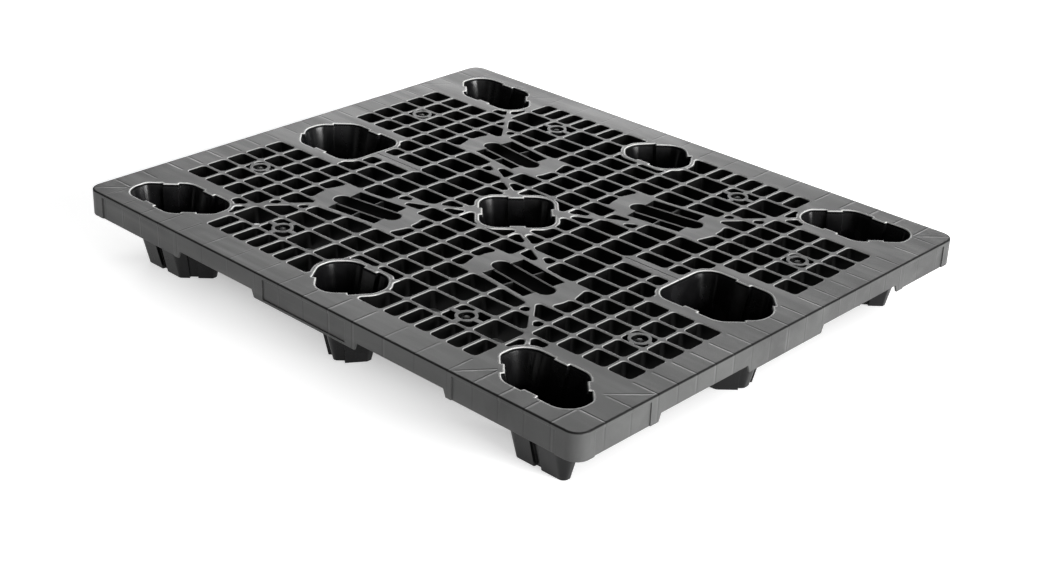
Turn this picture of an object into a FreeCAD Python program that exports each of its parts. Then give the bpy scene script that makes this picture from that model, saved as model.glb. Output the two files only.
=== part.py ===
"""Nestable plastic pallet, 48 x 40 inches: a ribbed open deck, nine press-in cup
legs and eight rubber grip plugs.  Millimetres, +Z up, X along the long side,
origin on the ground under the middle of the deck."""

import FreeCAD
import Part
import Sketcher
import math
import os
from FreeCAD import Vector

UP = Vector(0, 0, 1)
OVERRUN = 1.0  # how far a cutter runs past the face it goes through
ABOVE = 0.3  # how far a bevel runs on past the deck top
SLACK = 0.3  # keeps two faces that nearly meet apart
SHORTEST_EDGE = 4.0  # an outline of a cell keeps no edge shorter than this
STRAIGHT_SHARE = 0.94  # most of an edge that the arcs at its two ends may take
SMALLEST_RADIUS = 0.8  # of a corner that shrinks with its outline
NARROWEST = 8.0  # an opening narrower than this is left out
SMALLEST_OPENING = 90.0  # square millimetres
SMALLEST_POCKET = 200.0  # square millimetres
TOUCH = 4.0  # a brace that ends this little inside a cell doesn't divide it
NEARLY_PARALLEL = 0.05  # sine of the angle between two lines that aren't made to meet
FAR = 100.0  # further than any cell's far side

# alias, value in millimetres (degrees where the note says so), what it is
DRIVING = (
    ("deck_length", 1219.2, "deck along X"),
    ("deck_width", 1016.0, "deck along Y"),
    ("overall_height", 143.0, "ground to deck top"),
    ("corner_round", 26.0, "deck corners in plan"),
    ("top_edge_round", 2.5, "top outer edge"),
    ("sheet_thick", 5.0, "solid top sheet of the border"),
    ("rib_depth", 35.0, "ribs and shallow skirt, below the top"),
    ("skirt_depth", 49.0, "deep skirt, below the top"),
    ("skirt_wall", 5.0, "skirt thickness"),
    ("rib_thick", 6.2, "rib width at the top"),
    ("rib_draft", 1.3, "how much each rib face leans in over its depth"),
    ("cell_round", 7.0, "corner radius of an open cell"),
    ("cell_bevel", 1.2, "bevel round the top of an open cell"),
    ("pocket_round", 3.0, "corner radius of a pocket under the border"),
    ("pitch_x_inner", 61.0, "two columns beside the centre"),
    ("pitch_x_middle", 72.5, "three columns"),
    ("pitch_x_outer", 53.5, "four columns up to the border"),
    ("pitch_y_inner", 48.0, "two rows beside the centre"),
    ("pitch_y_middle", 46.5, "five rows"),
    ("pitch_y_outer", 59.75, "two rows up to the border"),
    ("window_x_near", 127.0, "fork window in a long side, inner end at the bottom"),
    ("window_x_far", 337.0, "fork window in a long side, outer end at the bottom"),
    ("window_y_near", 98.0, "fork window in a short side, inner end at the bottom"),
    ("window_y_far", 325.0, "fork window in a short side, outer end at the bottom"),
    ("window_slant", 5.5, "lean of each window end over the skirt step"),
    ("collar_wall", 4.5, "wall of the socket round each leg"),
    ("socket_gap", 0.5, "clearance between leg rim and socket"),
    ("leg_top_grow", 3.5, "leg rim outside the deck opening"),
    ("leg_foot_inset", 28.0, "foot inside the deck opening"),
    ("leg_wall", 4.5, "cup wall"),
    ("leg_floor", 5.0, "cup floor"),
    ("tab_depth", 6.0, "wall strips and lip tabs reach in by this"),
    ("tab_slope", 0.8, "how much each end of a tab leans in over its depth"),
    ("drain_radius", 6.0, "drain hole in a cup floor"),
    ("catch_length", 16.0, "catch on a leg, along the wall"),
    ("catch_height", 8.0, "catch on a leg, along Z"),
    ("catch_reach", 6.3, "catch tip outside the deck opening"),
    ("catch_play", 0.6, "play round a catch"),
    ("catch_bottom", 26.0, "catch underside, below the deck top"),
    ("slot_length", 152.0, "hand slot, overall"),
    ("slot_width", 34.0, "hand slot"),
    ("slot_tilt", 7.3, "hand slot, degrees off the long side"),
    ("slot_x", 196.0, "hand slot centre"),
    ("slot_y", 189.0, "hand slot centre"),
    ("grip_round", 111.0, "circle that bounds the pads at a slot's ends"),
    ("frame_reach", 54.5, "half width of the frame round a slot"),
    ("well_length", 54.0, "each of the four wells beside a slot"),
    ("well_inner", 22.0, "well, near side from the slot's middle line"),
    ("well_outer", 46.0, "well, far side from the slot's middle line"),
    ("well_split", 4.0, "wall between two wells"),
    ("well_round", 1.5, "corner radius of a well"),
    ("frame_drop", 2.0, "thin slot walls stand this far below the deck"),
    ("spine_half", 15.5, "half width of the solid band to each end leg"),
    ("spine_tip", 252.0, "where the band's point starts"),
    ("groove_width", 2.0, "line along the band"),
    ("groove_depth", 1.5, "line along the band"),
    ("groove_inset", 7.0, "from each end of the band to the line"),
    ("brace_thick", 8.5, "diagonal ribs"),
    ("boss_outer", 19.5, "radius of a plug boss"),
    ("boss_bore", 14.0, "radius of the plug's seat"),
    ("boss_drain", 9.0, "radius of the hole below the seat"),
    ("boss_arm", 9.0, "width of the four arms that hold a boss"),
    ("seat_depth", 13.0, "plug seat below the top"),
    ("plug_radius", 13.8, "grip plug"),
    ("plug_body", 8.0, "plug disc thickness"),
    ("plug_dome_radius", 7.5, "raised middle of a plug"),
    ("plug_dome_height", 4.0, "raised middle of a plug"),
    ("panel_depth", 2.0, "recessed panels in the skirt"),
    ("panel_top", 7.0, "panel upper edge below the top"),
    ("panel_lip", 4.5, "skirt left under a middle panel"),
    ("panel_half", 104.0, "middle panel of a long side, half length"),
    ("panel_x_near", 349.0, "end panels of a long side"),
    ("panel_x_far", 564.0, "end panels of a long side"),
    ("panel_y_near", 344.0, "end panels of a short side"),
    ("panel_y_far", 470.0, "end panels of a short side"),
)

doc = FreeCAD.newDocument("nestable_pallet")
sheet = doc.addObject("Spreadsheet::Sheet", "dims")
for row, (alias, value, note) in enumerate(DRIVING, start=1):
    sheet.set(f"A{row}", alias)
    sheet.set(f"B{row}", str(value))
    sheet.setAlias(f"B{row}", alias)
    sheet.set(f"C{row}", note)
doc.recompute()


def dim(alias):
    """A driving dimension, read back from the sheet."""
    return float(sheet.get(alias))


HALF_X = dim("deck_length") / 2
HALF_Y = dim("deck_width") / 2
TOP = dim("overall_height")
SHEET_UNDER = TOP - dim("sheet_thick")
RIB_FOOT = TOP - dim("rib_depth")
SKIRT_FOOT = TOP - dim("skirt_depth")
TAB = dim("tab_depth")
LEG_DRAFT = (dim("leg_top_grow") + dim("leg_foot_inset")) / SHEET_UNDER
QUADRANTS = ((1, 1), (-1, 1), (-1, -1), (1, -1))


# ---------------------------------------------------------------- outlines
# An outline is a list of corners (x, y, radius, wall), counter-clockwise.
# "wall" is 1 when the edge that starts at the corner is a wall, and 0 when it
# is the short side of a tab, which doesn't lean in with the walls.


def grown(outline, grow, tab_grow=None):
    """The outline with its walls moved out by grow, and the sides of its tabs by tab_grow."""
    if tab_grow is None:
        tab_grow = grow
    count = len(outline)
    lines = []
    for i, (x, y, _, wall) in enumerate(outline):
        next_x, next_y = outline[(i + 1) % count][:2]
        length = math.hypot(next_x - x, next_y - y)
        normal_x = (next_y - y) / length
        normal_y = (x - next_x) / length
        moved = grow if wall else tab_grow
        lines.append((normal_x, normal_y, normal_x * x + normal_y * y + moved))
    result = []
    for i, (_, _, radius, wall) in enumerate(outline):
        ax, ay, a = lines[i - 1]
        bx, by, b = lines[i]
        turn = ax * by - ay * bx
        side = 1 if turn > 0 else -1
        new_radius = max(radius + side * grow, SMALLEST_RADIUS) if radius else 0
        result.append(((a * by - b * ay) / turn, (ax * b - bx * a) / turn, new_radius, wall))
    return result


def mirrored(stretch, side_x, side_y):
    """A stretch of outline mirrored across an axis and walked the other way, as its
    other half. The edge that leads into a corner then starts at it."""
    result = []
    for i in range(len(stretch) - 1, -1, -1):
        x, y, radius, _ = stretch[i]
        result.append((x * side_x, y * side_y, radius, stretch[i - 1][3]))
    return result


def flipped(outline, side_x, side_y):
    """The outline mirrored into another quadrant, still counter-clockwise."""
    if side_x * side_y < 0:
        return mirrored(outline, side_x, side_y)
    return [(x * side_x, y * side_y, radius, wall) for x, y, radius, wall in outline]


def outline_edges(outline, z):
    """Lines and arcs of an outline at height z, in order."""
    count = len(outline)
    entries = []
    for i, (x, y, radius, _) in enumerate(outline):
        here = Vector(x, y, z)
        before = Vector(*outline[i - 1][:2], z) - here
        after = Vector(*outline[(i + 1) % count][:2], z) - here
        before.normalize()
        after.normalize()
        if not radius:
            entries.append((here, None, here))
            continue
        half = before.getAngle(after) / 2
        reach = radius / math.tan(half)
        inward = before + after
        inward.normalize()
        middle = here + inward * (radius / math.sin(half) - radius)
        entries.append((here + before * reach, middle, here + after * reach))
    edges = []
    for i, (start, middle, end) in enumerate(entries):
        if middle:
            edges.append(Part.Arc(start, middle, end))
        next_start = entries[(i + 1) % count][0]
        if (next_start - end).Length > 1e-6:
            edges.append(Part.LineSegment(end, next_start))
    return edges


def outline_wire(outline, z):
    return Part.Wire([edge.toShape() for edge in outline_edges(outline, z)])


def stack(outline, levels):
    """A solid through the outline at each (height, grow), with flat or conical walls."""
    wires = [outline_wire(grown(outline, grow), z) for z, grow in levels]
    return Part.makeLoft(wires, True, True)


def half_angle(points, i):
    """Half the angle between the two edges that meet at a corner, in radians."""
    here = Vector(*points[i][:2], 0)
    before = Vector(*points[i - 1][:2], 0) - here
    after = Vector(*points[(i + 1) % len(points)][:2], 0) - here
    return before.getAngle(after) / 2


def gap(first, second):
    return math.dist(first[:2], second[:2])


def fitted(points, radius):
    """An outline with each corner as round as its edges allow, up to radius. A corner
    with a third number is a hollow arc of that radius, which takes the length left."""
    points = [p for i, p in enumerate(points) if gap(p, points[i - 1]) > SHORTEST_EDGE]
    count = len(points)
    lengths = [STRAIGHT_SHARE * gap(p, points[(i + 1) % count]) for i, p in enumerate(points)]
    reaches = [1 / math.tan(half_angle(points, i)) for i in range(count)]
    hollow = [i for i, p in enumerate(points) if len(p) > 2]
    radii = [0.0 if i in hollow else radius for i in range(count)]
    for _ in range(4):
        for i in range(count):
            j = (i + 1) % count
            used = radii[i] * reaches[i] + radii[j] * reaches[j]
            room = lengths[i] / 2 if i in hollow or j in hollow else lengths[i]
            if used > room:
                radii[i] *= room / used
                radii[j] *= room / used
    for i in hollow:
        j = (i + 1) % count
        before = lengths[i - 1] - radii[i - 1] * reaches[i - 1]
        after = lengths[i] - radii[j] * reaches[j]
        radii[i] = min(points[i][2], before / reaches[i], after / reaches[i])
    return [(p[0], p[1], r, 1) for p, r in zip(points, radii)]


# --------------------------------------------------- shapes of the openings


def tabbed(ax, ay, bx, by, start, end):
    """The four corners of a tab on the wall from a to b, from start to end along it."""
    length = math.hypot(bx - ax, by - ay)
    along = Vector((bx - ax) / length, (by - ay) / length, 0)
    inward = Vector(-along.y, along.x, 0) * TAB
    base = Vector(ax, ay, 0)
    outer_start = base + along * start
    outer_end = base + along * end
    inner_start = outer_start + inward + along * dim("tab_slope")
    inner_end = outer_end + inward - along * dim("tab_slope")
    return [
        (outer_start.x, outer_start.y, 0, 0),
        (inner_start.x, inner_start.y, 0, 1),
        (inner_end.x, inner_end.y, 0, 0),
        (outer_end.x, outer_end.y, 0, 1),
    ]


def corner_opening():
    """Stretched hexagon with two square-on ends, its long axis along X, four tabs."""
    centre_x, centre_y = 456.7, 412.6
    half_x, half_y = 98.6, 56.7
    cut = 58.5  # how far each 45 degree wall takes off the box's corner
    end_round, side_round, tip_round = 38.0, 36.0, 18.0
    half_outline = [
        (-half_x, -half_y, end_round, 1),
        *tabbed(-half_x, -half_y, half_x - cut, -half_y, 67, 97),
        (half_x - cut, -half_y, side_round, 1),
        *tabbed(half_x - cut, -half_y, half_x, cut - half_y, 22, 52),
        (half_x, cut - half_y, tip_round, 1),
    ]
    outline = half_outline + flipped(half_outline, -1, -1)
    return [(centre_x + x, centre_y + y, radius, wall) for x, y, radius, wall in outline]


def side_opening():
    """Opening of the leg in the middle of a long side: flat in, lobed out."""
    flat_y, outer_y = 353.5, 468.8  # its inner wall, and the tip of its lobe
    shoulder = [(70.5, 384.5, 30.0, 1), (70.5, 413.0, 30.0, 1)]
    step = [(45.8, 449.0, 0, 0), (39.4, 444.4, 0, 1)]
    right = [(44.0, flat_y, 40.0, 1), *shoulder, *step, (15.0, outer_y, 34.0, 1)]
    return right + mirrored(right, -1, 1) + tabbed(-44.0, flat_y, 44.0, flat_y, 28, 60)


def end_opening():
    """Opening of the leg in the middle of a short side, one long axis along X."""
    inner_x, outer_x, flat_y = 381.8, 567.0, 73.6
    upper = [
        (outer_x, 19.0, 38.0, 1),
        (548.6, 37.4, 0, 0),
        (552.8, 41.7, 0, 1),
        (520.9, flat_y, 40.0, 1),
        *tabbed(520.9, flat_y, 401.5, flat_y, 42, 73),
        (401.5, flat_y, 31.0, 1),
        (inner_x, 53.5, 31.0, 1),
    ]
    return upper + mirrored(upper, 1, -1)


def centre_opening():
    """Rounded square stood on its corner, a tab in the middle of each side."""
    reach = 97.6  # centre to the square's sharp corner
    side = reach * math.sqrt(2)
    corners = [(reach, 0), (0, reach), (-reach, 0), (0, -reach)]
    outline = []
    for i, (x, y) in enumerate(corners):
        next_x, next_y = corners[(i + 1) % 4]
        outline.append((x, y, 34.0, 1))
        outline += tabbed(x, y, next_x, next_y, side / 2 - 15, side / 2 + 15)
    return outline


CORNER = corner_opening()
SIDE = side_opening()
END = end_opening()
CENTRE = centre_opening()

# Each catch: where it stands on the wall, and the angle it faces, in degrees.
CORNER_CATCHES = ((476.0, 355.9, 270), (437.4, 469.3, 90))
SIDE_CATCHES = ((70.5, 398.7, 0), (-70.5, 398.7, 180))
END_CATCHES = ((500.0, 73.6, 90), (500.0, -73.6, 270))
CENTRE_REACH, CENTRE_ASIDE = 69.0, 29.0  # out to a wall, and along it from its middle
CENTRE_CATCHES = tuple(
    (
        CENTRE_REACH * math.cos(a) - CENTRE_ASIDE * math.sin(a),
        CENTRE_REACH * math.sin(a) + CENTRE_ASIDE * math.cos(a),
        math.degrees(a),
    )
    for a in (math.radians(45), math.radians(225))
)


def flipped_catches(catches, side_x, side_y):
    result = []
    for x, y, angle in catches:
        facing = math.radians(angle)
        turned = math.atan2(math.sin(facing) * side_y, math.cos(facing) * side_x)
        result.append((x * side_x, y * side_y, math.degrees(turned)))
    return result


def leg_plan():
    """Name, opening outline and catches of each of the nine legs."""
    places = [("leg_centre", CENTRE, CENTRE_CATCHES, 1, 1)]
    for end, side_y in (("front", -1), ("rear", 1)):
        places.append((f"leg_side_{end}", SIDE, SIDE_CATCHES, 1, side_y))
        for hand, side_x in (("left", -1), ("right", 1)):
            places.append((f"leg_corner_{end}_{hand}", CORNER, CORNER_CATCHES, side_x, side_y))
    for hand, side_x in (("left", -1), ("right", 1)):
        places.append((f"leg_end_{hand}", END, END_CATCHES, side_x, 1))
    return [
        (name, flipped(outline, side_x, side_y), flipped_catches(catches, side_x, side_y))
        for name, outline, catches, side_x, side_y in places
    ]


LEGS = leg_plan()
CATCH_ROOT = -2.0  # where a catch starts, inside the leg's wall


def catch_box(place, root, play):
    """A catch, or its pocket with play on every side, at (x, y, angle) on a leg's wall. It
    starts at root, measured outwards from the edge of the leg's opening."""
    x, y, angle = place
    out = dim("catch_reach") + play - root
    length = dim("catch_length") + 2 * play
    height = dim("catch_height") + 2 * play
    low = TOP - dim("catch_bottom") - play
    box = Part.makeBox(out, length, height, Vector(root, -length / 2, low))
    box.rotate(Vector(0, 0, 0), UP, angle)
    box.translate(Vector(x, y, 0))
    return box


# ------------------------------------------------------------ the deck's grid


def lines_from(pitches):
    lines = [0.0]
    for alias, count in pitches:
        for _ in range(count):
            lines.append(lines[-1] + dim(alias))
    return lines


GRID_X = lines_from((("pitch_x_inner", 2), ("pitch_x_middle", 3), ("pitch_x_outer", 4)))
GRID_Y = lines_from((("pitch_y_inner", 2), ("pitch_y_middle", 5), ("pitch_y_outer", 2)))
COLUMNS = len(GRID_X) - 1
ROWS = len(GRID_Y) - 1
LAST = ROWS - 1  # the row beside the border of a long side
SKIRT_INSIDE_X = HALF_X - dim("skirt_wall")
SKIRT_INSIDE_Y = HALF_Y - dim("skirt_wall")


def rectangle(x0, x1, y0, y1):
    return [(x0, y0), (x1, y0), (x1, y1), (x0, y1)]


def area(points):
    total = 0.0
    for i, (x, y, *_) in enumerate(points):
        before_x, before_y = points[i - 1][:2]
        total += before_x * y - x * before_y
    return total / 2


def clipped(points, normal_x, normal_y, offset):
    """The part of a convex polygon where normal . point is at least offset."""
    kept = []
    for i, (x, y) in enumerate(points):
        before_x, before_y = points[i - 1]
        here = normal_x * x + normal_y * y - offset
        before = normal_x * before_x + normal_y * before_y - offset
        if here * before < 0:
            share = before / (before - here)
            kept.append((before_x + share * (x - before_x), before_y + share * (y - before_y)))
        if here >= 0:
            kept.append((x, y))
    return kept


def beside(points, obstacle):
    """What is left of a convex cell on the best side of a convex obstacle."""
    best = []
    for i, (x, y) in enumerate(obstacle):
        before_x, before_y = obstacle[i - 1]
        length = math.hypot(x - before_x, y - before_y)
        if length < 1e-6:
            continue
        normal_x = (y - before_y) / length
        normal_y = (before_x - x) / length
        side = clipped(points, normal_x, normal_y, normal_x * x + normal_y * y)
        if len(side) > 2 and (not best or area(side) > area(best)):
            best = side
    return best


def line_of(start, end):
    """The line through two points, as (normal x, normal y, offset)."""
    length = math.dist(start, end)
    normal_x = (end[1] - start[1]) / length
    normal_y = (start[0] - end[0]) / length
    return normal_x, normal_y, normal_x * start[0] + normal_y * start[1]


def meeting(first, second):
    """The point where two lines cross, or nothing where they are nearly parallel."""
    turn = first[0] * second[1] - first[1] * second[0]
    if abs(turn) < NEARLY_PARALLEL:
        return None
    x = (first[2] * second[1] - second[2] * first[1]) / turn
    y = (first[0] * second[2] - second[0] * first[2]) / turn
    return x, y


def inside(point, outline, margin=0.0):
    """True for a point that lies within a convex outline, at least margin from its edges."""
    for i, corner in enumerate(outline):
        normal_x, normal_y, offset = line_of(outline[i - 1], corner)
        if normal_x * point[0] + normal_y * point[1] > offset - margin:
            return False
    return True


def crossing(start, end, obstacle):
    """Where the line from start to end crosses the rim of a convex obstacle."""
    here = line_of(start, end)
    for i, corner in enumerate(obstacle):
        before = obstacle[i - 1]
        side = here[0] * corner[0] + here[1] * corner[1] - here[2]
        side_before = here[0] * before[0] + here[1] * before[1] - here[2]
        if side * side_before > 0 or side == side_before:
            continue
        share = side_before / (side_before - side)
        x = before[0] + share * (corner[0] - before[0])
        y = before[1] + share * (corner[1] - before[1])
        along = (x - start[0]) * (end[0] - start[0]) + (y - start[1]) * (end[1] - start[1])
        if 0 <= along <= math.dist(start, end) ** 2:
            return x, y
    return None


def around(points, obstacle):
    """What is left of a convex cell outside a round obstacle that covers some of its
    corners, with one hollow arc along the obstacle, or nothing where that doesn't fit."""
    covered = [inside(p, obstacle) for p in points]
    count = len(points)
    leaves = [i for i in range(count) if covered[i - 1] and not covered[i]]
    if len(leaves) != 1:
        return []
    first = leaves[0]
    kept = [points[(first + k) % count] for k in range(count) if not covered[(first + k) % count]]
    enters = (first + len(kept)) % count
    way_out = crossing(points[first - 1], points[first], obstacle)
    way_in = crossing(points[enters - 1], points[enters], obstacle)
    rim = [p for p in obstacle if inside(p, points)]
    if not (way_in and way_out and len(rim) > 1):
        return []
    rim.sort(key=lambda p: math.dist(p, way_in))
    tip = meeting(line_of(way_in, rim[0]), line_of(way_out, rim[-1]))
    if tip is None or not inside(tip, points, SHORTEST_EDGE / 2):
        return []
    corner = [way_out, *kept, way_in, tip]
    half = half_angle(corner, len(corner) - 1)
    depth = min(math.dist(tip, p) for p in rim)
    return corner[:-1] + [(*tip, depth / (1 / math.sin(half) - 1))]


def split(points, start, end):
    """The cell's pieces on both sides of a diagonal brace, if the brace crosses it."""
    (x0, y0), (x1, y1) = start, end
    length = math.dist(start, end)
    along = ((x1 - x0) / length, (y1 - y0) / length)
    normal = (-along[1], along[0])
    offset = normal[0] * x0 + normal[1] * y0
    under = clipped(points, *normal, offset - SLACK)
    under = clipped(under, -normal[0], -normal[1], -offset - SLACK) if under else []
    spans = [along[0] * (x - x0) + along[1] * (y - y0) for x, y in under]
    if not spans or max(spans) < TOUCH or min(spans) > length - TOUCH:
        return [points]
    half = dim("brace_thick") / 2
    left = clipped(points, *normal, offset + half)
    right = clipped(points, -normal[0], -normal[1], half - offset)
    return [piece for piece in (left, right) if len(piece) > 2]


def sampled(outline, grow):
    """The convex outer corners of an opening, grown, with its arcs as short chords."""
    points = []
    for edge in outline_edges(grown(outline, grow), 0):
        pieces = 1 if isinstance(edge, Part.LineSegment) else 6
        points += [(p.x, p.y) for p in edge.toShape().discretize(pieces + 1)[:-1]]
    return hull(points)


def hull(points):
    """Convex hull, counter-clockwise."""
    points = sorted(set(points))
    rims = []
    for ordered in (points, points[::-1]):
        rim = []
        for p in ordered:
            while len(rim) > 1 and area([rim[-2], rim[-1], p]) <= 1e-9:
                rim.pop()
            rim.append(p)
        rims.append(rim[:-1])
    return rims[0] + rims[1]


def slot_point(x, y):
    """From a slot's own axes to the deck's, in the quadrant with both signs plus."""
    tilt = math.radians(dim("slot_tilt"))
    return (
        dim("slot_x") + x * math.cos(tilt) - y * math.sin(tilt),
        dim("slot_y") + x * math.sin(tilt) + y * math.cos(tilt),
    )


def slot_obstacles():
    """The frame round the hand slot, and the round pads at its two ends."""
    reach = dim("frame_reach")
    half = dim("slot_length") / 2 - 4
    frame = [slot_point(x, y) for x, y in rectangle(-half, half, -reach, reach)]
    low, high = GRID_Y[3], GRID_Y[5]
    pads = []
    for degrees in range(0, 360, 6):
        angle = math.radians(degrees)
        x = dim("slot_x") + dim("grip_round") * math.cos(angle)
        y = dim("slot_y") + dim("grip_round") * math.sin(angle)
        pads.append((x, min(max(y, low), high)))
    return [frame, hull(pads)]


COLLAR = dim("leg_top_grow") + dim("socket_gap") + dim("collar_wall")
SPINE = [
    (dim("spine_tip"), 0),
    (dim("spine_tip") + dim("spine_half"), -dim("spine_half")),
    (END[0][0], -dim("spine_half")),
    (END[0][0], dim("spine_half")),
    (dim("spine_tip") + dim("spine_half"), dim("spine_half")),
]
COLLARS = [sampled(outline, COLLAR) for outline in (CENTRE, CORNER, SIDE, END)]
OBSTACLES = [*COLLARS, *slot_obstacles(), SPINE]
CENTRE_BRACE = ((70.0, 61.5), (196.0, 130.8))
CORNER_BRACE = ((272.0, 245.0), (347.0, 335.5))
BOSSES = (
    ((GRID_X[7] + GRID_X[8]) / 2, (GRID_Y[4] + GRID_Y[5]) / 2, (7, 4)),
    ((GRID_X[3] + GRID_X[4]) / 2, (GRID_Y[7] + GRID_Y[8]) / 2, (3, 7)),
)
BOSS_CELLS = [cell for _, _, cell in BOSSES]


def is_open(column, row):
    """True where a grid cell goes right through the deck."""
    if row < 2:
        return column < 6
    if row < 7:
        return True
    if row == 7:
        return column < 6
    return 1 <= column <= 4


def pieces_of(cell):
    """A rectangular cell cut up by the braces and cut back by the collars and frames."""
    pieces = [cell]
    for brace in (CENTRE_BRACE, CORNER_BRACE):
        pieces = [part for piece in pieces for part in split(piece, *brace)]
    return [part for piece in pieces for part in cut_back(piece)]


def cut_back(piece):
    """A convex piece of a cell without the obstacles that reach into it."""
    near = [o for o in OBSTACLES if area(beside(piece, o)) < area(piece) - 1]
    if len(near) == 1:
        rounded_piece = around(piece, near[0])
        if rounded_piece:
            return [rounded_piece]
    for obstacle in near:
        piece = beside(piece, obstacle)
        if len(piece) < 3:
            return []
    return [piece]


def roomy(points, smallest):
    """True when a polygon is big enough in area and in width to be a real opening."""
    if len(points) < 3 or area(points) < smallest:
        return False
    xs = [p[0] for p in points]
    ys = [p[1] for p in points]
    return min(max(xs) - min(xs), max(ys) - min(ys)) > NARROWEST


def through_levels():
    """Heights and growths of an opening that goes right through: draft, wall and bevel."""
    bevel = dim("cell_bevel")
    foot = (RIB_FOOT - OVERRUN, dim("rib_draft"))
    return foot, (TOP - bevel, 0), (TOP + ABOVE, bevel + ABOVE)


def open_cutters():
    """Cutters for every cell that goes right through, in one quadrant."""
    half = dim("rib_thick") / 2
    cutters = []
    for column in range(COLUMNS):
        for row in range(ROWS):
            if not is_open(column, row) or (column, row) in BOSS_CELLS:
                continue
            edges_x = [GRID_X[column], GRID_X[column + 1]]
            if row == LAST and column > 1:  # these cells have a rib down their middle
                edges_x.insert(1, sum(edges_x) / 2)
            for x0, x1 in zip(edges_x, edges_x[1:]):
                cell = rectangle(x0 + half, x1 - half, GRID_Y[row] + half, GRID_Y[row + 1] - half)
                for piece in pieces_of(cell):
                    if roomy(piece, SMALLEST_OPENING):
                        cutters.append(stack(fitted(piece, dim("cell_round")), through_levels()))
    return cutters


def off_the_corner(points):
    """The part of a pocket that stays inside the skirt's rounded corner."""
    back = (dim("corner_round") - dim("skirt_wall")) * (2 - math.sqrt(2))
    return clipped(points, -1, -1, back - SKIRT_INSIDE_X - SKIRT_INSIDE_Y)


def pocket_cutters():
    """Cutters for the blind pockets under the border, between its hidden ribs."""
    half = dim("rib_thick") / 2
    levels = ((RIB_FOOT - OVERRUN, dim("rib_draft")), (SHEET_UNDER, 0))
    xs = GRID_X + [SKIRT_INSIDE_X + half]
    ys = GRID_Y + [SKIRT_INSIDE_Y + half]
    cutters = []
    for column in range(COLUMNS + 1):
        for row in range(ROWS + 1):
            if column < COLUMNS and row < ROWS and is_open(column, row):
                continue
            x0, x1 = xs[column] + half, xs[column + 1] - half
            y0, y1 = ys[row] + half, ys[row + 1] - half
            for piece in pieces_of(off_the_corner(rectangle(x0, x1, y0, y1))):
                if roomy(piece, SMALLEST_POCKET):
                    cutters.append(stack(fitted(piece, dim("pocket_round")), levels))
    return cutters


def boss_cutters():
    """The corner openings and the stepped bore of each plug boss."""
    half = dim("rib_thick") / 2
    arm = dim("boss_arm")
    height = dim("rib_depth") + 4 * OVERRUN
    cutters = []
    for x, y, (column, row) in BOSSES:
        base = Vector(x, y, RIB_FOOT - 2 * OVERRUN)
        ring = Part.makeCylinder(dim("boss_outer"), height, base)
        across = Part.makeBox(FAR, arm, height, base - Vector(FAR / 2, arm / 2, 0))
        down = Part.makeBox(arm, FAR, height, base - Vector(arm / 2, FAR / 2, 0))
        x0, x1 = GRID_X[column] + half, GRID_X[column + 1] - half
        y0, y1 = GRID_Y[row] + half, GRID_Y[row + 1] - half
        cell = stack(fitted(rectangle(x0, x1, y0, y1), dim("cell_round")), through_levels())
        cutters += cell.cut([ring, across, down]).Solids
        seat_z = TOP - dim("seat_depth")
        drain = Part.makeCylinder(dim("boss_drain"), seat_z - RIB_FOOT + 2 * OVERRUN, base)
        seat = Part.makeCylinder(dim("boss_bore"), dim("seat_depth") + OVERRUN, Vector(x, y, seat_z))
        cutters.append(drain.fuse(seat).removeSplitter())
    return cutters


def slot_cutters():
    """The hand slot and its four wells."""
    bevel = dim("cell_bevel")
    along, across = dim("slot_length") / 2, dim("slot_width") / 2
    corners = [slot_point(x, y) for x, y in rectangle(-along, along, -across, across)]
    slot = [(x, y, across - SLACK, 1) for x, y in corners]
    levels = ((RIB_FOOT - OVERRUN, 0), (TOP - bevel, 0), (TOP + ABOVE, bevel + ABOVE))
    cutters = [stack(slot, levels)]
    well_levels = ((RIB_FOOT - OVERRUN, SLACK), (TOP - dim("frame_drop") / 2, 0))
    middle = dim("well_split") / 2
    for x0 in (-middle - dim("well_length"), middle):
        for y0 in (-dim("well_outer"), dim("well_inner")):
            x1 = x0 + dim("well_length")
            y1 = y0 + dim("well_outer") - dim("well_inner")
            well = [slot_point(x, y) for x, y in rectangle(x0, x1, y0, y1)]
            cutters.append(stack(fitted(well, dim("well_round")), well_levels))
    return cutters


def drop_cutters():
    """Shallow cut over the slot's frame, which leaves its thin walls below the deck."""
    reach_x = dim("well_length") + dim("well_split") / 2 - SLACK
    reach_y = dim("well_outer") - SLACK
    points = [slot_point(x, y) for x, y in rectangle(-reach_x, reach_x, -reach_y, reach_y)]
    levels = ((TOP - dim("frame_drop"), 0), (TOP + OVERRUN, 0))
    return [stack(fitted(points, dim("well_round")), levels)]


def in_all_quadrants(cutters):
    result = []
    for side_x, side_y in QUADRANTS:
        for cutter in cutters:
            if side_x > 0 and side_y > 0:
                result.append(cutter)
            elif side_x < 0 and side_y < 0:
                turned = cutter.copy()
                turned.rotate(Vector(0, 0, 0), UP, 180)
                result.append(turned)
            else:
                normal = Vector(1, 0, 0) if side_x < 0 else Vector(0, 1, 0)
                result.append(cutter.mirror(Vector(0, 0, 0), normal))
    return result


def opening_cutters():
    """For each leg: the opening in the lip, the socket below it and the catch pockets."""
    bevel = dim("cell_bevel")
    grow = dim("leg_top_grow") + dim("socket_gap")
    play = dim("catch_play")
    socket_levels = ((RIB_FOOT - OVERRUN, grow), (SHEET_UNDER, grow))
    lip_levels = ((SHEET_UNDER - OVERRUN, 0), (TOP - bevel, 0), (TOP + ABOVE, bevel + ABOVE))
    cutters = []
    for _, outline, catches in LEGS:
        shapes = [stack(outline, lip_levels)]
        shapes += [catch_box(place, 0, play) for place in catches]
        cutters.append(stack(outline, socket_levels).fuse(shapes).removeSplitter())
    return cutters


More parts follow.
